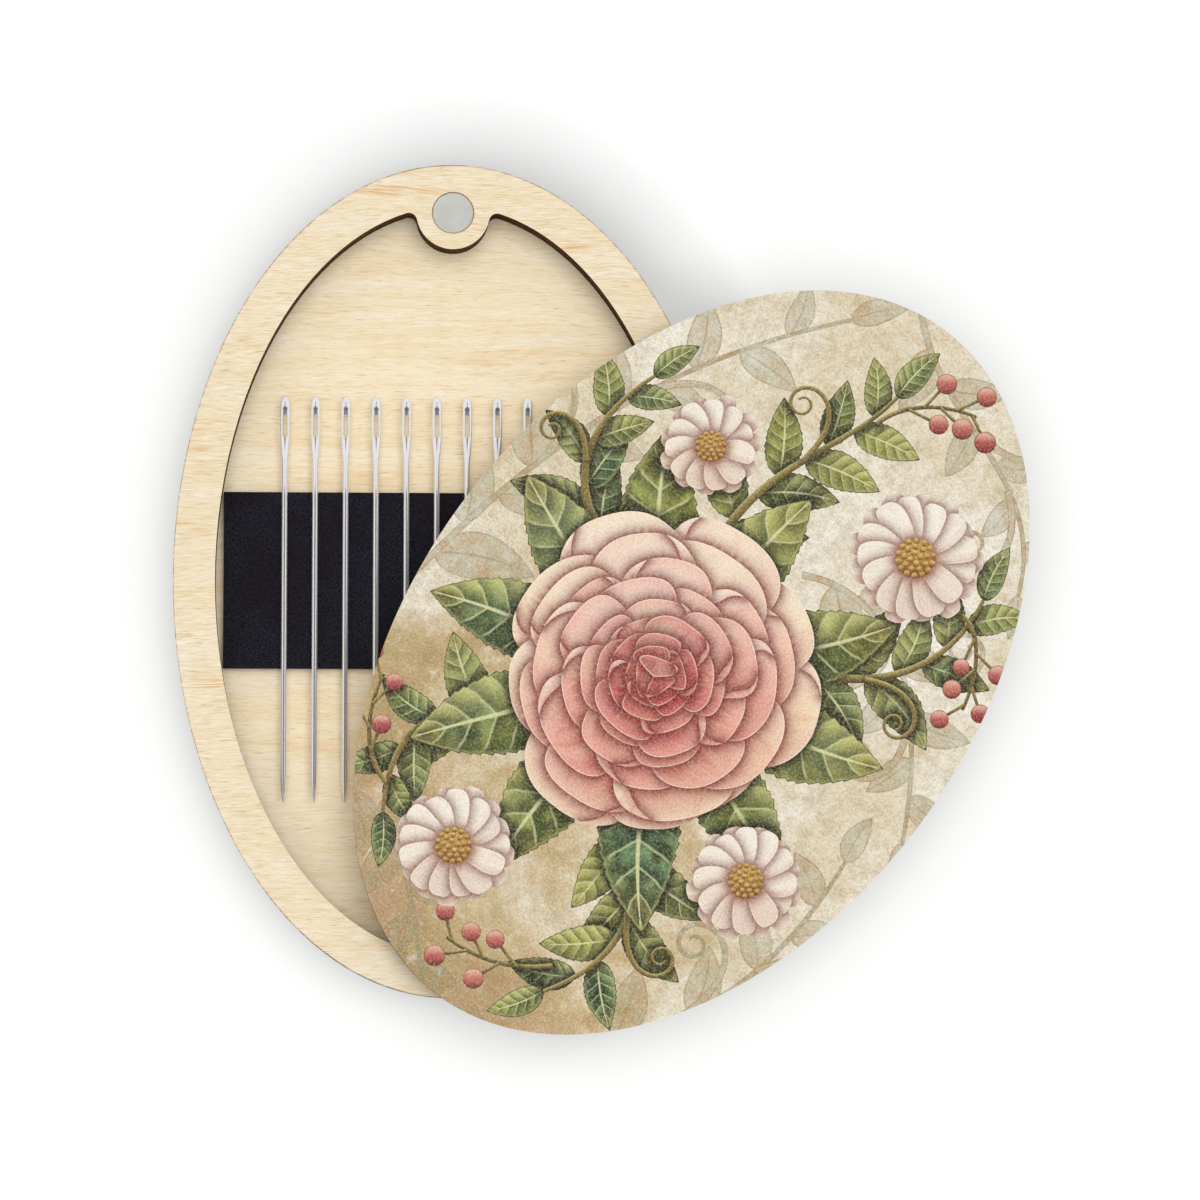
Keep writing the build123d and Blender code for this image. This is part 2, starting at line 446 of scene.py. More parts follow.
def needle_stations(length):
    """Where the needle gets a section, from the eye end: close together where its form changes."""
    shoulder = length - POINT_LENGTH
    runs = [
        eased_in(0, CROWN_END, 16),
        np.linspace(GUTTER_START, EYE_START, 6),
        eased_in(EYE_START, EYE_SLOPE, 8),
        np.linspace(EYE_START + EYE_SLOPE, HOLE_START, 6),
        eased(HOLE_START, HOLE_START + EYE_SLOPE, 8),
        eased(HOLE_START, EYE_END, 14),
        eased(EYE_END - EYE_SLOPE, EYE_END, 8),
        np.linspace(EYE_END, EYE_END + EYE_SLOPE, 5),
        np.linspace(EYE_END + EYE_SLOPE, GUTTER_END, 10),
        np.linspace(GUTTER_END, NECK_END, 10),
        np.linspace(NECK_END, shoulder, 12),
        np.linspace(shoulder, length, 16),
    ]
    return np.unique(np.round(np.concatenate(runs), 4))


def needle_outline(s, length, radius):
    """At each station: half the needle's width, half its thickness, and how square its section is."""
    run = NECK_END - CHEEK_END
    bend = (NECK_BEND[0] * HEAD_HALF_WIDTH, CHEEK_END + NECK_BEND[1] * run)
    cheek, below = (HEAD_HALF_WIDTH, CHEEK_END), (HEAD_HALF_WIDTH, CHEEK_END + run / 2)
    neck = curve(cheek, below, bend, (NECK_HALF_WIDTH, NECK_END), 40)
    width = np.maximum(np.interp(s, neck[:, 1], neck[:, 0]), radius) * rounded(s, 0, CROWN_END)
    p = np.clip((s - length + POINT_LENGTH) / POINT_LENGTH, 0, 1)
    width = np.where(p > 0, radius * (1 - p**2) + POINT_BLUNT * p**2, width)

    thickness = np.interp(s, (EYE_END, NECK_END), (HEAD_HALF_THICKNESS, radius))
    thickness = np.minimum(thickness, np.where(s > NECK_END, width, radius)) * rounded(s, 0, HEAD_ROUNDING)
    return width, thickness, np.interp(s, (EYE_END, NECK_END), (HEAD_SQUARENESS, SHANK_SQUARENESS))


def groove_width(s, width, radius):
    """At each station: half the width of the hole through the head, and the width of the lip beside it."""
    eye = EYE_HALF_WIDTH * rounded(np.minimum(s - HOLE_START, EYE_END - s), 0, EYE_HALF_WIDTH)
    wide = EYE_HALF_WIDTH + RAIL_ROUNDING
    line = np.interp(s, (GUTTER_START, EYE_START), (HAIRLINE, CROWN_LINE))
    above = np.maximum(wide * rounded(s, EYE_START, wide), line)
    places = (EYE_END - EYE_HALF_WIDTH, EYE_END, GUTTER_END, NECK_END)
    below = np.interp(s, places, (wide, GUTTER_HALF_WIDTH, HAIRLINE, radius / 4))
    return eye, np.minimum(np.minimum(above, below) - eye, LIP_SHARE * width)


def groove_floor(s, thickness):
    """At each station: the height of the groove's floor, as a share of the head's there."""
    ramp = (GUTTER_START, EYE_START, EYE_START + EYE_STEP, HOLE_START)
    deep = HEAD_HALF_THICKNESS
    depths = (0, CROWN_LINE / 2, deep / 2, RAMP_END_DEPTH * deep, deep, GUTTER_DEPTH, 0)
    depth = np.interp(s, (*ramp, EYE_END, EYE_END + EYE_SLOPE, GUTTER_END), depths)
    depth *= np.clip((s - GUTTER_START) / (EYE_START - GUTTER_START), 0, 1)
    in_hole = (s >= HOLE_START) & (s <= EYE_END)
    return np.where(in_hole, 0.0, np.clip(1 - depth / np.maximum(thickness, 0.01), 0, 1))


def groove_rail(s):
    """At each station, as shares: where the lip's middle lies, and its height over the groove's floor."""
    places = (HOLE_START, HOLE_START + EYE_SLOPE, EYE_END - EYE_SLOPE, EYE_END)
    start = EYE_HALF_WIDTH / (EYE_HALF_WIDTH + RAIL_ROUNDING)
    return np.interp(s, places, (start, *[RAIL_MIDDLE] * 3)), np.interp(s, places, RAIL_HEIGHTS)


def painted_groove_shade(s):
    """At each station: the painted shade along the groove's middle, and on its lip; below the gutter, a
    painted dark reflection line.
    """
    places = (GUTTER_START, EYE_START, EYE_START + EYE_STEP, EYE_START + 3 * EYE_STEP, HOLE_START)
    above = np.interp(s, places, RAMP_PAINTED_SHADE)
    places = (EYE_END, EYE_END + EYE_SLOPE, GUTTER_END, NECK_END, NECK_END + PAINTED_REFLECTION_RUN_OUT)
    below = np.interp(s, places, (EYE_PAINTED_SHADE, 1, PAINTED_REFLECTION_DARKNESS, PAINTED_REFLECTION_DARKNESS, 0))
    middle = np.where(s > EYE_END, below, np.where(s > HOLE_START, EYE_PAINTED_SHADE, above))
    on_ramp = (s > EYE_START) & (s < HOLE_START)
    return middle, np.where(on_ramp, middle, np.where(s < GUTTER_END, LIP_PAINTED_SHADE * middle, 0))


def needle_sections(length, radius):
    """A quarter of the needle: x, y, z and painted shade, in a row from groove to side for each station."""
    s = needle_stations(length)
    width, thickness, power = needle_outline(s, length, radius)
    eye, lip = groove_width(s, width, radius)
    floor = groove_floor(s, thickness)
    reach, height = groove_rail(s)
    width, thickness, power, start = (row[:, None] for row in (width, thickness, power, eye + lip))

    x = np.c_[eye, eye + lip * reach, start + (width - start) * SECTION_STEPS]
    share = np.clip(x / np.maximum(width, 1e-6), 0, 1)
    z = thickness * (1 - share**power) ** (1 / power)
    z[:, 0] *= floor
    z[:, 1] *= floor + (1 - floor) * height
    x[-1] = 0
    z[-1] = 0
    y = np.repeat((length / 2 - s)[:, None], x.shape[1], axis=1)
    groove = np.zeros_like(x)
    groove[:, 0], groove[:, 1] = painted_groove_shade(s)
    return x, y, z, groove


def needle_mesh(length, radius):
    """A needle along Y with its middle at the origin: a round shank, and a flat head with a rounded eye."""
    sections = needle_sections(length, radius)
    built = bmesh.new()
    # The groove layer holds the painted shade and the painted dark reflection line for each vertex
    layer = built.verts.layers.float.new("groove")
    for side in (1, -1):
        for face in (1, -1):
            grid = []
            for row in zip(*sections):
                grid.append([])
                for x, y, z, dark in zip(*row):
                    vertex = built.verts.new((side * x * MM, y * MM, face * z * MM))
                    vertex[layer] = dark
                    grid[-1].append(vertex)
            for one, other in zip(grid[:-1], grid[1:]):
                for i in range(len(one) - 1):
                    built.faces.new((one[i], one[i + 1], other[i + 1], other[i]))
    bmesh.ops.remove_doubles(built, verts=built.verts, dist=WELD_DISTANCE)
    bmesh.ops.dissolve_degenerate(built, dist=DISSOLVE_DISTANCE, edges=built.edges)
    bmesh.ops.recalc_face_normals(built, faces=built.faces)
    mesh = bpy.data.meshes.new("needle_round")
    built.to_mesh(mesh)
    built.free()
    mesh.shade_smooth()
    mesh.set_sharp_from_angle(angle=radians(SHARP_ANGLE))
    return mesh


def build_needles():
    low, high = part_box(needle_names[0])
    mesh = needle_mesh((high.y - low.y) / MM, (high.z - low.z) / 2 / MM)
    mesh.materials.append(needle_steel())
    for name in needle_names:
        low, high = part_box(name)
        piece = add_object(name.replace("needle", "steel_needle"), mesh)
        piece.location = (low + high) / 2
        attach(piece, "base")
        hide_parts(name)


build_needles()


# The print. Its places are millimetres on the shut lid, from its middle, with +Y to the magnet end.
rng = np.random.default_rng(7)
vary = rng.uniform
RIM_POINTS = 360
GRID_STEP = 0.55
GRID_ROW_SHARE = 0.866
GRID_MARGIN = 0.2
MERGE_DISTANCE = 1e-4

# The light that the print is painted by, and how far a shape's shade reaches onto those under it
PAINT_LIGHT = np.array((-0.6, 0.8))
PAINT_LIGHT_ANGLE = atan2(PAINT_LIGHT[1], PAINT_LIGHT[0])
SHADE_REACH = 1.1
SHADE_WINDOW = 3

# How a blade swells from its base, how it tapers to its tip, and how far its edge is ruffled
LEAF_FORM = (0.6, 0.95, 0.0)
BLOSSOM_FORM = (0.8, 0.32, 0.05)
PETAL_FORM = (0.95, 0.42, 0.08)

# The ruffle's waves and the lag of its other side, in radians, and the teeth of leaves
RUFFLE_WAVES = 8
RUFFLE_LAG = 2.2
SPRIG_TEETH = 11
RING_TEETH = 15
TOOTH_DEPTH = 0.09

# Where on its stem a sprig's first leaf sits, and how its leaves get smaller to the tip
FIRST_LEAF = 0.12
LEAF_SHRINK = 0.42
LAST_LEAF = (0.6, 0.56)

# The great flower's rows of petals, from the outside: how many, and how far out they reach
BLOOM_CENTRE = (-2.5, -4.5)
BLOOM_ROWS = ((9, 19.2), (8, 16.8), (8, 14.2), (8, 11.8), (7, 9.5), (6, 7.3), (6, 5.4), (5, 3.7), (3, 2.2))
BLOOM_TURN = 0.4
BLOOM_TWIST = 25
PETAL_FULLNESS = 6.3
FOLDED_SHARE = 0.75

# The leaves that look out from under it: each one's angle, length and width, and how far out they start
RING_START = 10
RING_LEAVES = (
    (16, 19.5, 10.2), (50, 20, 9.8), (86, 18.5, 9.6), (124, 20, 10.2), (160, 18.5, 9.6),
    (197, 18.5, 9.4), (232, 20, 10.2), (268, 19.5, 10.0), (305, 20.5, 10.2), (340, 18.5, 9.6),
)

# A daisy's rounds of petals, as shift and reach, and the beads of its eye, as radius and number
DAISY_ROUNDS = ((0.5, 1.0), (0.0, 0.9))
DAISY_EYE = 0.3
DAISY_BEAD = 0.05
DAISY_BEADS = ((0.26, 14), (0.17, 9), (0.08, 4))


def direction(angle):
    return np.array([cos(angle), sin(angle)])


def turned(points, angle):
    """The points turned anticlockwise about the origin."""
    c, s = cos(angle), sin(angle)
    return points @ np.array([[c, s], [-s, c]])


def tangents(line):
    slope = np.gradient(line, axis=0)
    return slope / np.linalg.norm(slope, axis=1)[:, None]


def nearest_on(line, points):
    """For each point, the number of the line's point that lies closest."""
    gap = points[:, None, :] - line[None, :, :]
    return np.argmin((gap**2).sum(2), axis=1)


class Blade:
    """A petal or a leaf: a shape on a bent midrib, from its base to its tip."""

    def __init__(self, kind, base, heading, length, width, bend, tint, glow=0.5, form=LEAF_FORM, teeth=0):
        self.kind, self.tint, self.glow = kind, tint, glow
        self.base, self.heading = np.array(base, float), heading
        self.length, self.width, self.bend = length, width, bend
        self.swell, self.taper, self.ruffle = form
        self.teeth = teeth
        self.phase = vary(0, 2 * pi)

    def half_width(self, along, side):
        """The blade's reach to one side (1 or -1) of its midrib."""
        peak = self.swell / (self.swell + self.taper)
        most = peak**self.swell * (1 - peak) ** self.taper
        along = np.clip(along, 0, 1)
        width = self.width / 2 * along**self.swell * (1 - along) ** self.taper / most
        if self.teeth:
            width *= 1 - TOOTH_DEPTH * (along * self.teeth % 1.0)
        wave = np.sin(RUFFLE_WAVES * along + self.phase + RUFFLE_LAG * side)
        return width * (1 + self.ruffle * along * wave)

    def midrib(self, along):
        return self.bend * self.length * 4 * along * (1 - along)

    def outline(self):
        along = eased(0, 1, int(10 + 1.6 * self.length) + 3 * self.teeth)
        one = np.c_[along * self.length, self.midrib(along) - self.half_width(along, -1)]
        other = np.c_[along * self.length, self.midrib(along) + self.half_width(along, 1)][-2:0:-1]
        return turned(np.vstack([one, other]), self.heading) + self.base

    def locate(self, points):
        """How far along and across the blade each point lies, and how much it faces the painted light."""
        local = turned(points - self.base, -self.heading)
        along = np.clip(local[:, 0] / self.length, 0, 1)
        off = local[:, 1] - self.midrib(along)
        across = np.clip(off / np.maximum(self.half_width(along, np.sign(off)), 0.02), -1, 1)
        return along, across, across * turned(PAINT_LIGHT, -self.heading)[1]


class Fold:
    """The edge of a petal, turned over: a crescent inside its outline, on one side of its tip."""

    def __init__(self, petal, side, start, end, depth):
        self.kind, self.tint, self.glow = "fold", petal.tint, petal.glow
        along = np.linspace(start, end, 26)
        y = petal.midrib(along) + side * petal.half_width(along, side)
        self.edge = turned(np.c_[along * petal.length, y], petal.heading) + petal.base
        slope = tangents(self.edge)
        self.inward = side * np.c_[slope[:, 1], -slope[:, 0]]
        self.reach = depth * np.sin(np.linspace(0, pi, len(along))) ** 0.8

    def outline(self):
        inner = self.edge + self.inward * self.reach[:, None]
        return np.vstack([self.edge, inner[-2:0:-1]])

    def locate(self, points):
        nearest = nearest_on(self.edge, points)
        away = ((points - self.edge[nearest]) * self.inward[nearest]).sum(1)
        across = np.clip(away / np.maximum(self.reach[nearest], 0.05), 0, 1)
        return nearest / len(self.edge), across, -(self.inward[nearest] @ PAINT_LIGHT)


class Ribbon:
    """A stem or tendril: a line that tapers from its base to its tip."""

    def __init__(self, kind, line, width, tip_width, tint):
        self.kind, self.tint, self.glow = kind, tint, 0.5
        self.line = line
        steps = np.linalg.norm(np.diff(line, axis=0), axis=1)
        self.along = np.r_[0, np.cumsum(steps)] / steps.sum()
        self.half = (width + (tip_width - width) * self.along) / 2
        slope = tangents(line)
        self.side = np.c_[-slope[:, 1], slope[:, 0]]

    def outline(self):
        reach = self.side * self.half[:, None]
        return np.vstack([self.line - reach, (self.line + reach)[::-1]])

    def locate(self, points):
        nearest = nearest_on(self.line, points)
        away = ((points - self.line[nearest]) * self.side[nearest]).sum(1)
        across = np.clip(away / self.half[nearest], -1, 1)
        return self.along[nearest], across, across * (self.side[nearest] @ PAINT_LIGHT)


class Dot:
    """A round bead, such as an anther or a berry."""

    def __init__(self, kind, centre, radius, tint):
        self.kind, self.tint, self.glow = kind, tint, 0.5
        self.centre, self.radius = np.array(centre, float), radius

    def outline(self):
        count = 12 if self.radius < 0.6 else 28
        turn = 2 * pi * np.arange(count) / count
        return self.centre + self.radius * np.c_[np.cos(turn), np.sin(turn)]

    def locate(self, points):
        away = (points - self.centre) / self.radius
        return np.linalg.norm(away, axis=1), away[:, 0], away @ PAINT_LIGHT


def heading_at(line, at):
    slope = line[min(at + 1, len(line) - 1)] - line[max(at - 1, 0)]
    return atan2(slope[1], slope[0])


def branch(line, share, number, angle, stray):
    """Where something leaves a line, on which side and at what heading; the sides take turns."""
    at = int(share * (len(line) - 1))
    side = 1 if number % 2 else -1
    return line[at], side, heading_at(line, at) + side * radians(angle + vary(-stray, stray))


def tendril(kind, line, share, side, length, turns, width=(0.75, 0.3)):
    """A curl that leaves a stem on one side and winds tighter and tighter."""
    count = 110
    at = int(share * (len(line) - 1))
    t = np.linspace(0, 1, count)
    angle = heading_at(line, at) + side * (0.25 + turns * 2 * pi * t**1.9)
    step = length / count * (1 - 0.5 * t)
    path = line[at] + np.cumsum(np.c_[step * np.cos(angle), step * np.sin(angle)], axis=0)
    return Ribbon(kind, path, *width, tint=0.4)


def sprig(line, length, width, count, kinds=("stem", "leaf"), stem=(1.3, 0.45), tint=0.5, spread=50):
    """A stem with leaves by turns on its two sides and one at its tip, which get smaller along it."""
    leaves = []
    teeth = SPRIG_TEETH if kinds[1] == "leaf" else 0
    for i in range(count):
        t = FIRST_LEAF + (1 - FIRST_LEAF) * i / count
        base, side, heading = branch(line, t, i, spread, 9)
        size = (1 - LEAF_SHRINK * t) * vary(0.9, 1.1)
        bend = -side * vary(0.02, 0.08)
        shade = tint + vary(-0.35, 0.35)
        glow = vary(0.15, 0.95)
        leaf = Blade(kinds[1], base, heading, length * size, width * size, bend, shade, glow, teeth=teeth)
        leaves.append(leaf)
    heading = heading_at(line, len(line) - 1)
    last = Blade(kinds[1], line[-1], heading, length * LAST_LEAF[0], width * LAST_LEAF[1], 0.05, tint)
    return leaves + [last, Ribbon(kinds[0], line, *stem, tint=tint)]


def daisy(centre, radius, petals=13, turn=0.0, tint=0.2):
    """A small open flower: two rounds of narrow petals about a full yellow eye."""
    shapes = []
    for ring, reach in DAISY_ROUNDS:
        for i in range(petals):
            heading = turn + 2 * pi * (i + ring) / petals + vary(-0.05, 0.05)
            length = radius * reach * vary(0.94, 1.05)
            width = radius * 0.42 * vary(0.92, 1.06)
            glow = 0.5 + 0.35 * cos(heading - PAINT_LIGHT_ANGLE)
            shade = tint + vary(-0.12, 0.12) + 0.25 * ring
            bend = vary(-0.05, 0.05)
            shapes.append(Blade("blossom", centre, heading, length, width, bend, shade, glow, BLOSSOM_FORM))
    shapes.append(Dot("anther", centre, radius * DAISY_EYE, tint=0.9))
    for ring, count in DAISY_BEADS:
        for i in range(count):
            spot = np.array(centre) + radius * ring * direction(2 * pi * (i + ring * 7) / count)
            shapes.append(Dot("anther", spot, radius * DAISY_BEAD, tint=ring * 2))
    return shapes


def berries(line, count, radius):
    """Round berries on short stalks along a thin twig."""
    shapes = [Ribbon("stem", line, 0.6, 0.4, tint=0.3)]
    for i in range(count):
        base, side, heading = branch(line, 0.35 + 0.6 * i / (count - 1), i, 38, 8)
        tip = base + radius * vary(2.6, 3.4) * direction(heading)
        shapes.append(Ribbon("stem", np.linspace(base, tip, 8), 0.42, 0.34, tint=0.3))
        shapes.append(Dot("berry", tip, radius * vary(0.85, 1.1), tint=vary(0, 1)))
    return shapes


def bloom(centre):
    """The great flower: rows of petals, the outermost first, most of them with an edge turned over."""
    shapes = []
    for row, (count, reach) in enumerate(BLOOM_ROWS):
        inward = row / (len(BLOOM_ROWS) - 1)
        turn = row * radians(BLOOM_TWIST) + BLOOM_TURN
        for i in range(count):
            heading = turn + 2 * pi * i / count + vary(-0.1, 0.1)
            length = reach * vary(0.9, 1.06)
            width = length * PETAL_FULLNESS / count * vary(0.9, 1.1)
            bend = vary(-0.07, 0.07)
            glow = 0.5 + 0.4 * cos(heading - PAINT_LIGHT_ANGLE) + vary(-0.1, 0.1)
            tint = np.clip(inward + vary(-0.07, 0.07), 0, 1)
            petal = Blade("petal", centre, heading, length, width, bend, tint, glow, PETAL_FORM)
            shapes.append(petal)
            if vary() < FOLDED_SHARE:
                side = rng.choice((-1, 1))
                start, end = vary(0.5, 0.62), vary(0.94, 0.99)
                shapes.append(Fold(petal, side, start, end, length * vary(0.05, 0.1) + 0.2))
    return shapes


def leaf_ring(centre):
    """Large leaves that look out from under the great flower."""
    shapes = []
    for angle, length, width in RING_LEAVES:
        heading = radians(angle)
        base = np.array(centre) + RING_START * direction(heading)
        tint, glow, bend = vary(0.0, 1.0), vary(0.2, 0.9), vary(-0.07, 0.07)
        shapes.append(Blade("leaf", base, heading, length, width, bend, tint, glow, teeth=RING_TEETH))
    return shapes


def design():
    """Every shape of the print, from the one painted first to the one on top."""
    shapes = []
    behind = (
        (((-33, -16), (-31, 4), (-27, 24), (-10, 44)), 12, 5.6, 10),
        (((4, 16), (15, 22), (26, 12), (33, -2)), 11, 5.4, 8),
        (((12, -48), (26, -38), (31, -26), (29, -8)), 10.5, 5.4, 8),
        (((-26, -38), (-16, -34), (-8, -44), (0, -52)), 9, 4.8, 6),
        (((-4, 50), (6, 40), (20, 44), (26, 30)), 9, 4.6, 6),
    )
    for pulls, length, width, count in behind:
        line = curve(*pulls)
        shapes += sprig(line, length, width, count, ("ghost", "ghost"), (0.9, 0.5), spread=56)
        shapes.append(tendril("ghost", line, 0.42, 1, 34, 1.5, (1.0, 0.4)))
        shapes.append(tendril("ghost", line, 0.66, -1, 30, 1.4, (1.0, 0.4)))

    top = curve((-5, 8), (-10, 22), (-1, 30), (0, 40))
    right = curve((8, 6), (19, 9), (25, 17), (23, 27))
    left = curve((-14, 4), (-25, 6), (-28, 14), (-24.5, 24))
    foot = curve((3, -20), (13, -24), (16, -33), (10, -42))
    heel = curve((-12, -20), (-21, -22), (-24, -28), (-18, -37))
    for line, length, width, count, tint in (
        (top, 12.5, 6.2, 8, 0.35),
        (right, 12.0, 5.8, 7, 0.6),
        (left, 11.0, 5.4, 7, 0.8),
        (foot, 12.0, 5.8, 7, 0.35),
        (heel, 11.0, 5.4, 6, 0.65),
    ):
        shapes += sprig(line, length, width, count, tint=tint)
    shapes += [tendril("stem", top, 0.55, 1, 27, 1.5), tendril("stem", right, 0.35, -1, 25, 1.45)]
    shapes += [tendril("stem", foot, 0.5, 1, 24, 1.45), tendril("stem", left, 0.5, 1, 21, 1.4)]
    shapes += berries(curve((0, 36), (1, 40), (5, 43), (9, 44)), 5, 1.25)
    shapes += berries(curve((22, 24), (25, 24), (28, 20), (29, 15)), 5, 1.2)
    shapes += berries(curve((9, -39), (6, -42), (2, -44), (-3, -44)), 5, 1.2)
    shapes += berries(curve((-20, -34), (-24, -33), (-27, -29), (-28, -24)), 4, 1.15)

    shapes += leaf_ring(BLOOM_CENTRE)
    shapes += daisy((13.5, 26.0), 8.0, turn=0.4, tint=0.1)
    shapes += daisy((-14.0, 21.5), 6.2, petals=11, turn=1.0, tint=0.3)
    shapes += daisy((21.0, -17.0), 7.0, petals=12, turn=0.1, tint=0.2)
    shapes += daisy((-9.0, -35.0), 7.2, turn=0.7, tint=0.15)
    return shapes + bloom(BLOOM_CENTRE)


def anticlockwise(points):
    x, y = points[:, 0], points[:, 1]
    area = (x * np.roll(y, -1) - np.roll(x, -1) * y).sum()
    return points if area > 0 else points[::-1]


def planar_map(shapes):
    """Cuts the lid's oval along every outline: the triangles, and for each the shape on top there."""
    turn = 2 * pi * np.arange(RIM_POINTS) / RIM_POINTS
    rim = OUTLINE * np.c_[np.cos(turn), np.sin(turn)]
    loops = [rim] + [anticlockwise(shape.outline()) for shape in shapes]
    starts = np.cumsum([0] + [len(loop) for loop in loops])
    faces = [list(range(starts[i], starts[i + 1])) for i in range(len(loops))]

    fill = []
    half_width, half_length = OUTLINE
    for i, y in enumerate(np.arange(-half_length, half_length, GRID_STEP * GRID_ROW_SHARE)):
        x = np.arange(-half_width, half_width, GRID_STEP) + (i % 2) * GRID_STEP / 2
        fill.append(np.c_[x, np.full_like(x, y)])
    fill = np.vstack(fill)
    reach = fill / (OUTLINE - GRID_MARGIN)
    points = np.vstack(loops + [fill[(reach**2).sum(1) < 1]])

    only_inside, keep_owners = 1, True
    vectors = [Vector(p) for p in points.tolist()]
    cut = delaunay_2d_cdt(vectors, [], faces, only_inside, MERGE_DISTANCE, keep_owners)
    corners = np.array([p[:] for p in cut[0]])
    keep = [i for i, owners in enumerate(cut[5]) if 0 in owners]
    used, triangles = np.unique([cut[2][i] for i in keep], return_inverse=True)
    top = np.array([max(cut[5][i]) for i in keep]) - 1
    return corners[used], triangles.reshape(-1, 3), top, loops[1:]


def rim_loop(triangles):
    """The corners on the outer edge of the map, in order."""
    edges = np.vstack([triangles[:, [0, 1]], triangles[:, [1, 2]], triangles[:, [2, 0]]])
    seen = set(map(tuple, edges.tolist()))
    after = {a: b for a, b in seen if (b, a) not in seen}
    loop = [next(iter(after))]
    while after[loop[-1]] != loop[0]:
        loop.append(after[loop[-1]])
    return loop


def contact_shade(points, order, loops):
    """How close each point of a shape lies to the edge of one painted over it: 1 there, then less."""
    if order + 1 >= len(loops):
        return np.zeros(len(points))
    over = np.vstack(loops[order + 1 :])
    near = (over > points.min(0) - SHADE_WINDOW) & (over < points.max(0) + SHADE_WINDOW)
    over = over[np.all(near, axis=1)]
    if not len(over):
        return np.zeros(len(points))
    gap = np.sqrt(((points[:, None, :] - over[None, :, :]) ** 2).sum(2).min(1))
    return np.exp(-gap / SHADE_REACH)


def edge_gap(points, loop):
    """How far inside its own outline each point of a shape lies."""
    ahead = np.roll(loop, -1, axis=0) - loop
    away = points[:, None, :] - loop[None, :, :]
    share = (away * ahead).sum(2) / np.maximum((ahead**2).sum(1), 1e-9)
    away -= np.clip(share, 0, 1)[:, :, None] * ahead
    return np.sqrt((away**2).sum(2).min(1))


def paper_paint(g, place, at):
    """Old paper: cream and clouded, with ochre and pink washes to the left and at the low end."""
    cloud = g.noise(place, scale=0.06, detail=5, roughness=0.62)
    wash = g.noise(g.stretch(place, offset=(31, 7, 0)), scale=0.045, detail=6, roughness=0.66, distortion=0.6)
    warm = g.noise(g.stretch(place, offset=(3, 57, 0)), scale=0.05, detail=6, roughness=0.68, distortion=0.4)
    tooth = g.noise(place, scale=2.6, detail=3, roughness=0.7)
    fleck = g.noise(place, scale=0.55, detail=5, roughness=0.78)
    low_end = g.ramp(g.axis(place, "Y"), -2.0, -46.0, 0.0, 0.12)
    left = g.ramp(g.axis(g.place(), "X"), 34.0, -10.0, -0.03, 0.055)
    edges = g.math("ADD", low_end, left)
    wash = g.math("ADD", wash, edges)
    warm = g.math("ADD", warm, edges)
    return g.glaze(
        (255, 250, 236),
        (cloud, 0.36, 0.62, 1, (238, 225, 196)),
        (wash, 0.5, 0.7, 0.85, (202, 172, 112)),
        (warm, 0.56, 0.78, 0.55, (222, 168, 148)),
        (wash, 0.62, 0.84, 0.6, (140, 112, 64)),
        (fleck, 0.42, 0.68, 0.42, (184, 162, 114)),
        (fleck, 0.46, 0.3, 0.4, (255, 252, 242)),
        (tooth, 0.4, 0.7, 0.3, (162, 142, 104)),
    )


def ghost_paint(g, place, at):
    """A faded sprig behind the others, which the paper shows through."""
    side = g.math("ABSOLUTE", at.across)
    rib = g.ramp(side, 0.0, 0.1, 0.95, 0.5)
    rim = g.ramp(at.edge, 0.3, 0.0, 0, 0.45)
    cloud = g.noise(place, scale=0.3, detail=4, roughness=0.65)
    worn = g.ramp(cloud, 0.3, 0.7, 0.55, 1.0)
    strength = g.math("MULTIPLY", g.math("ADD", rib, rim), worn, clamp=True)
    ink = g.glaze((142, 150, 122), (cloud, 0.4, 0.6, 1, (172, 142, 98)))
    return g.mix(strength, paper_paint(g, place, at), ink)


def leaf_paint(g, place, at):
    """A green leaf with pale veins that slant to its tip, each field between them darker to one side."""
    veins, slant = 6.5, -0.9
    side = g.math("ABSOLUTE", at.across)
    cloud = g.noise(place, scale=0.35, detail=5, roughness=0.66)
    blot = g.noise(g.stretch(place, offset=(17, 5, 0)), scale=0.16, detail=3)
    hue = g.math("ADD", at.tint, g.ramp(blot, 0.35, 0.65, -0.25, 0.25), clamp=True)
    warm = g.mix(hue, (184, 184, 88), (128, 158, 112))
    dark = g.mix(hue, (76, 84, 24), (34, 64, 46))
    reach = g.math("MULTIPLY_ADD", side, slant, g.math("MULTIPLY", at.along, veins))
    phase = g.math("FRACT", g.math("ADD", reach, 4.0))
    color = g.glaze(
        warm,
        (cloud, 0.34, 0.64, 1, dark),
        (at.facing, 0, 0.8, 0.75, (216, 216, 140)),
        (at.facing, 0, -0.9, 0.6, (44, 58, 24)),
        (at.glow, 0.35, 1, 0.62, (212, 208, 124)),
        (at.along, 0.6, 1, 0.35, (190, 156, 90)),
        (phase, 0.1, 0.95, 0.66, dark),
    )
    vein = g.ramp(g.math("PINGPONG", reach, 0.5), 0.0, 0.09, 0.62, 0.0)
    fade = g.ramp(side, 0.7, 0.98, 1.0, 0.0)
    color = g.mix(g.math("MULTIPLY", vein, fade), color, (222, 222, 168))
    return g.glaze(
        color,
        (side, 0.08, 0.02, 0.9, (226, 224, 170)),
        (at.edge, 0.5, 0.15, 0.3, (204, 204, 136)),
        (at.edge, 0.16, 0.02, 0.85, (44, 44, 14)),
        (at.shade, 0.1, 0.9, 0.9, (28, 30, 12)),
    )


def stem_paint(g, place, at):
    cloud = g.noise(place, scale=0.8, detail=3)
    return g.glaze(
        g.mix(cloud, (124, 116, 58), (140, 106, 62)),
        (at.facing, -0.2, 0.9, 0.8, (196, 188, 122)),
        (at.facing, -0.1, -0.9, 0.8, (60, 50, 22)),
        (at.shade, 0.2, 1, 0.6, (44, 40, 20)),
    )


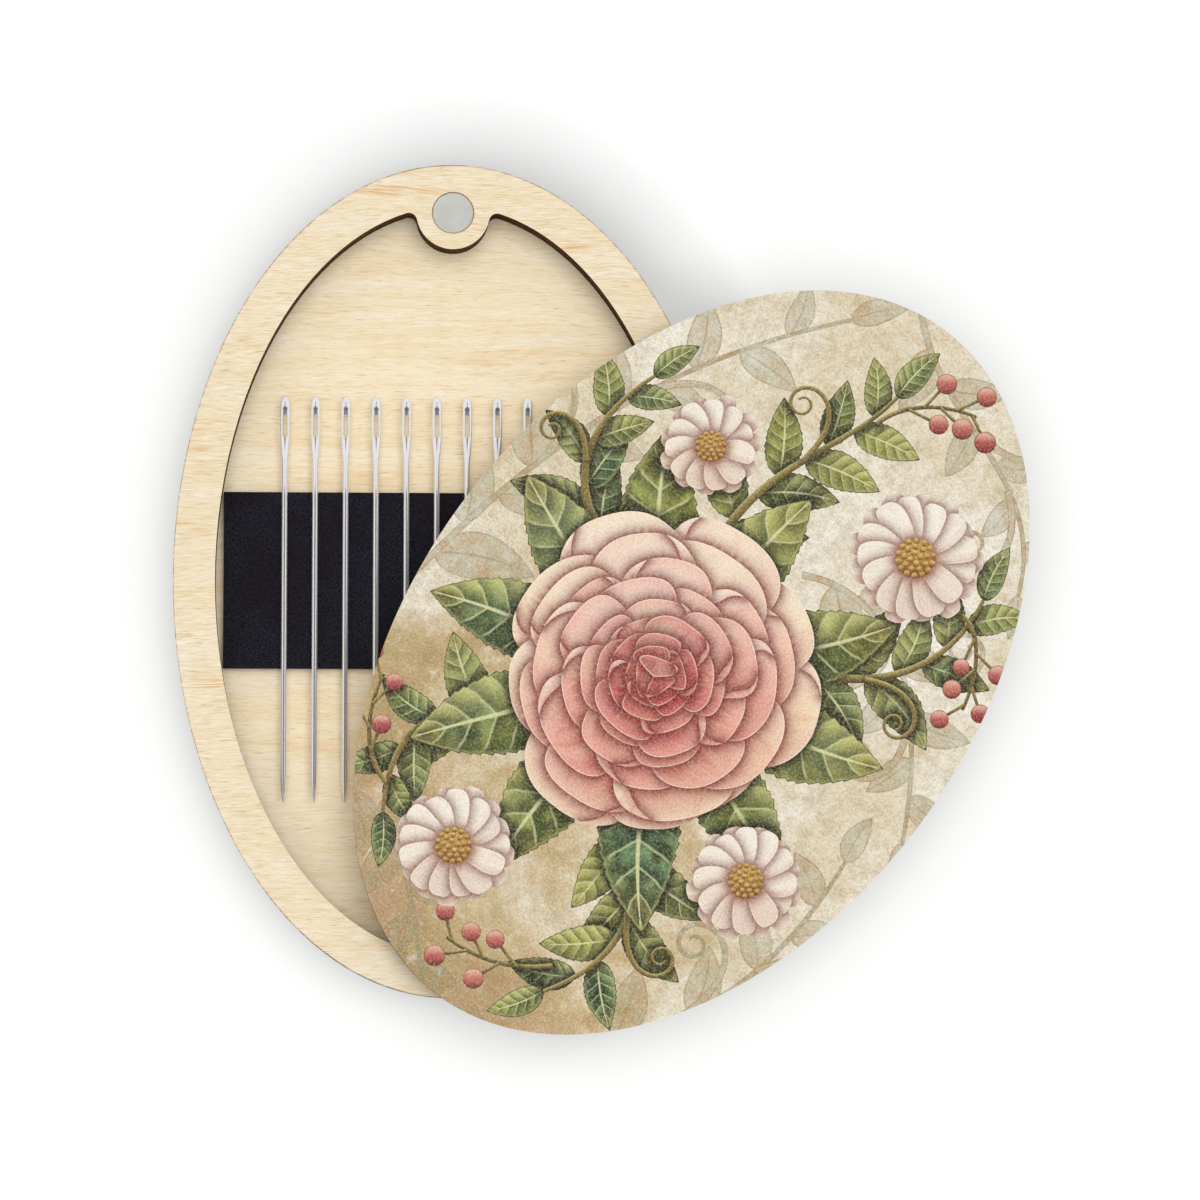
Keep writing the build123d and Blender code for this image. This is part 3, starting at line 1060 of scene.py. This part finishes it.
def petal_streaks(g, at, count):
    """Fine lines that run from a petal's base to its tip."""
    scales = ((at.across, count), (at.along, 1.6), (at.tint, 97.0))
    return g.noise(g.join(*(g.math("MULTIPLY", *pair) for pair in scales)), detail=4, roughness=0.66)


def petal_tones(g, at):
    """A petal's colours at its tip and at its base: cream and peach outside, rose to the heart."""
    tint = at.tint
    tip = g.glaze((255, 232, 200), (tint, 0.0, 0.32, 1, (246, 180, 162)), (tint, 0.32, 0.9, 1, (214, 92, 96)))
    return tip, g.glaze((214, 120, 104), (tint, 0.0, 0.8, 1, (132, 30, 40)))


def petal_paint(g, place, at):
    streaks = petal_streaks(g, at, 6.0)
    cloud = g.noise(place, scale=0.25, detail=4)
    tip, deep = petal_tones(g, at)
    color = g.glaze(
        deep,
        (at.along, 0.58, 0.98, 1, tip),
        (streaks, 0.5, 0.75, 0.5, deep),
        (streaks, 0.5, 0.28, 0.4, (253, 232, 212)),
        (cloud, 0.42, 0.64, 0.32, (248, 220, 172)),
    )
    lit = g.ramp(at.tint, 0.2, 1.0, 1.0, 0.3)
    color = g.mix(g.math("MULTIPLY", lit, g.ramp(at.glow, 0.45, 1.0, 0, 0.6)), color, (255, 243, 228))
    color = g.glaze(color, (at.glow, 0.5, 0.0, 0.4, (196, 84, 84)))
    color = g.mix(g.math("MULTIPLY", lit, g.ramp(at.facing, 0.0, 1.0, 0, 0.4)), color, (255, 240, 224))
    return g.glaze(
        color,
        (at.facing, 0, -1, 0.4, (196, 86, 88)),
        (at.edge, 1.6, 0.1, 0.5, tip),
        (at.edge, 0.2, 0.05, 0.6, (255, 236, 214)),
        (at.shade, 0.12, 1, 0.86, (128, 34, 36)),
    )


def fold_paint(g, place, at):
    """The turned edge of a petal: its pale back, lit along the outline and darker where it rolls under."""
    streaks = g.noise(place, scale=0.8, detail=4, roughness=0.7)
    tip, deep = petal_tones(g, at)
    return g.glaze(
        g.mix(g.ramp(at.tint, 0.1, 1.0, 0.55, 0.3), tip, (255, 240, 216)),
        (at.across, 0.25, 1, 0.5, deep),
        (streaks, 0.45, 0.7, 0.4, deep),
        (at.facing, 0, 1, 0.4, (255, 246, 232)),
        (at.facing, 0, -1, 0.35, (198, 110, 106)),
        (at.shade, 0.2, 1, 0.75, (132, 38, 40)),
    )


def blossom_paint(g, place, at):
    streaks = petal_streaks(g, at, 4.0)
    return g.glaze(
        g.mix(at.tint, (253, 245, 228), (246, 218, 192)),
        (at.along, 0.62, 0.12, 0.8, (216, 148, 126)),
        (streaks, 0.5, 0.75, 0.45, (226, 172, 148)),
        (at.glow, 0.5, 1, 0.5, (255, 250, 240)),
        (at.glow, 0.5, 0, 0.45, (206, 158, 142)),
        (at.facing, -0.1, -1, 0.4, (204, 150, 136)),
        (at.edge, 0.2, 0.05, 0.5, (255, 248, 232)),
        (at.edge, 0.07, 0, 0.5, (176, 118, 92)),
        (at.shade, 0.2, 1, 0.72, (130, 68, 52)),
    )


def berry_paint(g, place, at):
    return g.glaze(
        g.mix(at.tint, (204, 120, 104), (170, 70, 76)),
        (at.facing, -0.1, 0.8, 0.75, (246, 196, 172)),
        (at.facing, 0, -0.9, 0.75, (104, 32, 36)),
        (at.along, 0.82, 1, 0.6, (92, 36, 32)),
    )


def anther_paint(g, place, at):
    return g.glaze(
        (156, 100, 44),
        (at.facing, -0.8, 0.8, 1, (240, 202, 112)),
        (at.along, 0.75, 1, 0.6, (104, 62, 30)),
        (at.shade, 0.4, 1, 0.35, (104, 62, 30)),
    )


# What each kind of shape is painted with, and the measures that it keeps for that
PAINTS = dict(
    paper=paper_paint, ghost=ghost_paint, stem=stem_paint, leaf=leaf_paint, petal=petal_paint,
    fold=fold_paint, blossom=blossom_paint, berry=berry_paint, anther=anther_paint,
)
PRINT_KINDS = list(PAINTS)
PRINT_VALUES = ("along", "across", "facing", "tint", "glow", "shade", "edge")


def print_material(kind):
    """One kind of paint on the printed film, under the film's own grain and dull sheen."""
    g = new_graph("print_" + kind)
    place = g.place(turn=shut_angle)
    at = SimpleNamespace(**{name: g.attribute(name) for name in PRINT_VALUES})
    color = PAINTS[kind](g, place, at)
    grain = g.noise(place, scale=3.6, detail=3, roughness=0.7)
    color = g.glaze(color, (grain, 0.4, 0.8, 0.3, (84, 62, 34)), (grain, 0.56, 0.26, 0.22, (255, 248, 228)))
    g.bump(grain, 0.015 * MM, 0.4)
    return g.finish(color, roughness=0.6, specular=0.1)


def print_measures(shapes, spots, top, loops):
    """The kind of each triangle of the map, and the measures of its shape at each of its corners."""
    kinds = np.zeros(len(top), int)
    values = {name: np.zeros(len(spots)) for name in PRINT_VALUES}
    for order, shape in enumerate(shapes):
        mine = np.repeat(top == order, 3)
        if not mine.any():
            continue
        kinds[top == order] = PRINT_KINDS.index(shape.kind)
        points = spots[mine]
        edges = contact_shade(points, order, loops), edge_gap(points, loops[order])
        for name, measured in zip(PRINT_VALUES, (*shape.locate(points), shape.tint, shape.glow, *edges)):
            values[name][mine] = measured
    return kinds, values


def build_print():
    """The printed film as one closed sheet, with each shape's own measures kept on its triangles' corners."""
    shapes = design()
    corners, triangles, top, loops = planar_map(shapes)
    kinds, values = print_measures(shapes, corners[triangles.ravel()], top, loops)

    under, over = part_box("lid_print")
    loop = rim_loop(triangles)
    count = len(corners)
    flat = [(x * MM, y * MM, over.z) for x, y in corners.tolist()]
    flat += [(flat[i][0], flat[i][1], under.z) for i in loop]
    walls = []
    for i in range(len(loop)):
        j = (i + 1) % len(loop)
        walls.append((loop[j], loop[i], count + i, count + j))
    base = [tuple(range(count + len(loop) - 1, count - 1, -1))]

    mesh = bpy.data.meshes.new("lid_facing")
    mesh.from_pydata(flat, [], triangles.tolist() + walls + base)
    to_rest = Matrix.Translation(pivot) @ Matrix.Rotation(-shut_angle, 4, "Z") @ Matrix.Translation(-pivot)
    mesh.transform(to_rest)
    rest = len(mesh.loops) - triangles.size
    for name, data in values.items():
        layer = mesh.attributes.new(name, "FLOAT", "CORNER")
        layer.data.foreach_set("value", np.r_[data, np.zeros(rest)].astype(np.float32))
    mesh.polygons.foreach_set("material_index", np.r_[kinds, np.zeros(len(walls) + 1, int)].astype(np.int32))
    mesh.update()
    for kind in PRINT_KINDS:
        mesh.materials.append(print_material(kind))
    return add_object("lid_facing", mesh)


facing = build_print()
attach(facing, "lid")
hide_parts("lid_print")


def photo_point(pixel, height):
    """The place in the frame under a pixel of the photograph, at a height."""
    x = (pixel[0] - PHOTO_ORIGIN[0]) * PHOTO_MM_PER_PIXEL
    y = (PHOTO_ORIGIN[1] - pixel[1]) * PHOTO_MM_PER_PIXEL
    return Vector((x * MM, y * MM, height))


def build_camera():
    data = bpy.data.cameras.new("camera")
    data.sensor_width = CAMERA_SENSOR
    span = PHOTO_SIDE * PHOTO_MM_PER_PIXEL * MM
    data.lens = CAMERA_SENSOR * CAMERA_HEIGHT / span * CAMERA_ZOOM
    data.clip_start, data.clip_end = CAMERA_CLIP
    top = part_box("case_frame")[1].z
    eye = photo_point(CAMERA_FOOT, CAMERA_HEIGHT)
    ahead = (photo_point((PHOTO_SIDE / 2, PHOTO_SIDE / 2), top) - eye).normalized()
    across = ahead.cross(Vector((0, 1, 0))).normalized()
    up = across.cross(ahead)
    camera = add_object("camera", data)
    camera.matrix_world = Matrix.Translation(eye) @ Matrix((across, up, -ahead)).transposed().to_4x4()
    bpy.context.scene.camera = camera


def stage_sheet(name, left, near, right, far, height, material):
    """A level rectangle that belongs to the stage."""
    mesh = bpy.data.meshes.new(name)
    corners = [(left, near, 0), (right, near, 0), (right, far, 0), (left, far, 0)]
    mesh.from_pydata(corners, [], [(0, 1, 2, 3)])
    mesh.materials.append(material)
    sheet = add_object(name, mesh)
    sheet.location.z = height
    return sheet


def build_floor():
    """A white floor with a soft shade close round the case."""
    g = Graph(bpy.data.materials.new("floor_white"), "AddShader")
    lean = g.join(*Vector(FLOOR_SHADE_LEAN).normalized())
    inputs = {"Distance": FLOOR_SHADE_REACH, "Normal": lean}
    near = g.add("AmbientOcclusion", inputs, "AO", samples=FLOOR_SHADE_SAMPLES)
    shade = g.ramp(near, *FLOOR_SHADE_RANGE, FLOOR_SHADE_DARKEST, form="LINEAR")
    strength = g.math("MULTIPLY", g.math("MULTIPLY", g.background_ray(), shade), FLOOR_GLOW)
    diffuse = g.add("BsdfDiffuse", {"Color": (*[FLOOR_WHITE] * 3, 1)})
    glow = g.add("Emission", {"Color": FLOOR_GLOW_COLOR, "Strength": strength})
    g.feed(g.surface, {0: diffuse, 1: glow})
    side, height = FLOOR_HALF_SIDE, cad_box[0][2] - FLOOR_DROP
    floor = stage_sheet("floor", -side, -side, side, side, height, g.owner)


def build_light():
    world = bpy.data.worlds.new("world")
    bpy.context.scene.world = world
    g = Graph(world, "MixShader")
    dome, backdrop = (g.add("Background", {"Strength": s}) for s in (DOME_STRENGTH, BACKDROP_STRENGTH))
    g.feed(g.surface, {"Fac": g.background_ray(), 1: dome, 2: backdrop})

    data = bpy.data.lights.new("sun", "SUN")
    data.energy = SUN_STRENGTH
    data.angle = radians(SUN_SOFTNESS)
    sun = add_object("sun", data)
    sun.rotation_euler = (radians(SUN_TILT[0]), radians(SUN_TILT[1]), 0)
    sun.visible_glossy = False


def build_card():
    g = Graph(bpy.data.materials.new("card_grey"), "Emission")
    g.feed(g.surface, {"Color": srgb(*CARD_COLOR)})
    card = stage_sheet("card", -CARD_HALF_WIDTH, CARD_NEAR, CARD_HALF_WIDTH, CARD_FAR, CARD_HEIGHT, g.owner)
    for ray in ("camera", "diffuse", "shadow", "transmission"):
        setattr(card, "visible_" + ray, False)


build_camera()
build_floor()
build_light()
build_card()
bpy.context.scene.view_settings.view_transform = "Standard"
